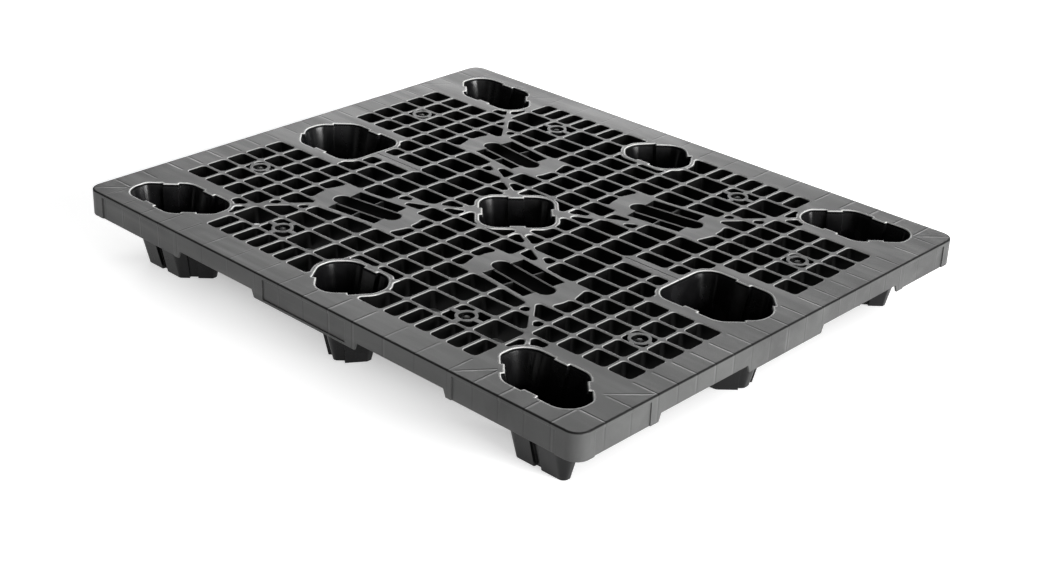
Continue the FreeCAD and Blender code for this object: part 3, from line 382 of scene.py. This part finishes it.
def deck_plastic(legs):
    shader = Shader("deck_plastic")
    place = shader.parts(shader.place)
    across = shader.maths("ABSOLUTE", place["X"])
    along = shader.maths("ABSOLUTE", place["Y"])
    height = place["Z"]

    clouds = shader.noise(4.0, 5.0, warp=1.2)
    streaks = shader.noise(26.0, 4.0, (0.14, 1.0, 1.0), warp=0.6)
    grain = shader.noise(1900.0, 2.0)

    fading = shader.ramp(shader.noise(7.0, 2.0), 0.38, 0.62, 0.5, 1.0)
    on_skirt = shader.ramp(height, DECK_TOP - OUTER_ROUND, DECK_TOP, FAINT, 1.0)
    strength = shader.maths("MULTIPLY", fading, on_skirt)
    straight = straight_marks(shader, across, along, 0.0)
    marks = shader.maths("MAXIMUM", straight, slanted_marks(shader, place))
    marks = shader.maths("MULTIPLY", marks, strength)
    # painted highlight line beside each straight mark, patchy by noise
    pale = shader.ramp(shader.noise(11.0, 2.0), 0.42, 0.62)
    pale = shader.maths("MULTIPLY", pale, straight_marks(shader, across, along, HIGHLIGHT_SHIFT))
    pale = shader.maths("MULTIPLY", pale, strength)

    rounded = shader.soft_edges(EDGE_RADIUS)
    out = past_the_faces(shader, across, along)
    painted_light = deck_painted_light(shader, height, out, rounded, over_a_leg(shader, across, along, legs))

    cloudy = shader.maths("MULTIPLY", shader.ramp(streaks, 0.45, 0.75, 0.0, 0.8), on_skirt)
    colour = shader.blend(shader.ramp(clouds, 0.35, 0.65), DECK_SHADE, DECK_GREY)
    colour = shader.blend(cloudy, colour, DECK_CLOUD)
    colour = shader.blend(pale, colour, DECK_MARK_HIGHLIGHT)
    # the sink marks are real dips (bump) drawn dark, a painted shade in each dip
    colour = shader.blend(marks, colour, DECK_LINE)
    # painted shade along the deck's rounded top edge, all round
    colour = shader.blend(shader.maths("MULTIPLY", painted_light["outer_shade_line"], 0.9), colour, DECK_LINE)
    # painted shade: all but the deck's top and skirt faces turn near black
    colour = shader.blend(painted_light["unshaded_outside"], DECK_PAINTED_SHADE, colour)
    # painted highlight on the bevels, and a fainter one along every edge on top
    colour = shader.blend(shader.maths("MULTIPLY", painted_light["bevel_highlights"], 0.9), colour, DECK_EDGE_HIGHLIGHT)
    colour = shader.blend(shader.maths("MULTIPLY", painted_light["edges"], 0.35), colour, DECK_EDGE_HIGHLIGHT)
    # painted highlight on the rims round the leg openings
    colour = shader.blend(painted_light["rim_highlights"], colour, DECK_RIM_HIGHLIGHT)

    smoother = shader.maths("MULTIPLY", painted_light["rim_highlights"], RIM_SMOOTHER)
    roughness = shader.maths("SUBTRACT", shader.ramp(streaks, 0.3, 0.7, 0.44, 0.34), smoother)
    shiny = shader.maths("SUBTRACT", painted_light["unshaded_outside"], painted_light["outer_shade_line"])
    specular = shader.ramp(shiny, 0.0, 1.0, INSIDE_SPECULAR, DECK_SPECULAR)
    normal = shader.bump(grain, DECK_GRAIN, rounded)
    normal = shader.bump(marks, -SINK_DEPTH, normal)
    return shader.plastic(colour, roughness, normal, specular)


def leg_plastic():
    shader = Shader("leg_plastic")
    clouds = shader.noise(18.0, 4.0, warp=0.5)
    draw_lines = shader.noise(160.0, 2.0, (1.0, 1.0, 0.08))
    rounded = shader.soft_edges(EDGE_RADIUS)
    edges = shader.edge_mask(rounded)

    colour = shader.blend(shader.ramp(clouds, 0.45, 0.8, 0.0, 0.5), LEG_BLACK, LEG_WORN)
    colour = shader.blend(shader.maths("MULTIPLY", edges, 0.5), colour, LEG_WORN)

    roughness = shader.ramp(clouds, 0.3, 0.7, 0.16, 0.30)
    normal = shader.bump(draw_lines, DRAW_LINES, rounded)
    return shader.plastic(colour, roughness, normal, GLOSSY_SPECULAR)


def grip_rubber():
    shader = Shader("grip_rubber")
    height = shader.parts(shader.place)["Z"]
    crown = shader.ramp(height, *(DECK_TOP - below for below in CROWN))
    grain = shader.noise(1400.0, 2.0)
    wear = shader.noise(260.0, 3.0)
    rounded = shader.soft_edges(EDGE_RADIUS)

    # painted highlight on the plug's crown, mottled by noise
    crown_highlight = shader.maths("MULTIPLY", crown, shader.ramp(wear, 0.3, 0.6, 0.6, 1.0))
    colour = shader.blend(crown_highlight, PLUG_BLACK, PLUG_CROWN_HIGHLIGHT)
    roughness = shader.ramp(wear, 0.3, 0.7, 0.20, 0.34)
    normal = shader.bump(grain, RUBBER_GRAIN, rounded)
    return shader.plastic(colour, roughness, normal, GLOSSY_SPECULAR)


def floor_paint():
    """A pale studio floor that glows, except deep under the pallet, where it gets a painted shadow."""
    shader = Shader("floor_paint")
    place = shader.parts(shader.place)
    in_x = shader.maths("SUBTRACT", HALF_LENGTH, shader.maths("ABSOLUTE", place["X"]))
    in_y = shader.maths("SUBTRACT", HALF_WIDTH, shader.maths("ABSOLUTE", place["Y"]))
    under = shader.ramp(shader.maths("MINIMUM", in_x, in_y), *UNDER_PALLET)
    seen = shader.add("LightPath").outputs["Is Camera Ray"]
    glow = shader.ramp(seen, 0.0, 1.0, FLOOR_GLOW, FLOOR_SEEN)
    # the glow fades under the pallet, part of its painted shadow
    glow = shader.maths("MULTIPLY", shader.maths("SUBTRACT", 1.0, under), glow)
    clouds = shader.noise(0.7, 2.0)
    colour = shader.blend(shader.ramp(clouds, 0.2, 0.8, 0.0, 0.04), FLOOR_WHITE, FLOOR_CLOUD)
    # painted shadow: the floor darkens under the pallet
    colour = shader.blend(under, colour, FLOOR_SHADED)
    normal = shader.bump(shader.noise(300.0, 2.0), FLOOR_GRAIN, shader.normal)
    return shader.plastic(colour, FLOOR_ROUGHNESS, normal, FLOOR_SPECULAR, glow)


def middle_and_half(node):
    """The middle of a node's box and half its size."""
    corners = [node.matrix_world @ Vector(corner) for corner in node.bound_box]
    low = Vector([min(values) for values in zip(*corners)])
    high = Vector([max(values) for values in zip(*corners)])
    return (low + high) / 2, (high - low) / 2


def clothe(made, prefix, finish):
    """Gives every CAD node whose name starts with prefix this material."""
    for name, node in made.items():
        if name.startswith(prefix):
            node.data.materials.clear()
            node.data.materials.append(finish)


def make_floor(reach, finish):
    mesh = bpy.data.meshes.new("floor")
    square = ((-reach, -reach), (reach, -reach), (reach, reach), (-reach, reach))
    corners = [(x, y, LOWEST.z) for x, y in square]
    mesh.from_pydata(corners, [], [(0, 1, 2, 3)])
    mesh.materials.append(finish)
    floor = bpy.data.objects.new("floor", mesh)
    bpy.context.scene.collection.objects.link(floor)


# ---------------------------------------------------------------- the scene

make_camera()
make_world(ROOM_GLOW)
for light in LIGHTS:
    make_sun(*light)
bpy.context.scene.view_settings.view_transform = "Standard"

legs = [middle_and_half(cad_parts[name]) for name in QUARTER]
clothe(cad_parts, "deck", deck_plastic(legs))
clothe(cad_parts, "leg_", leg_plastic())
clothe(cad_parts, "grip_plug_", grip_rubber())
make_floor(FLOOR_REACH, floor_paint())
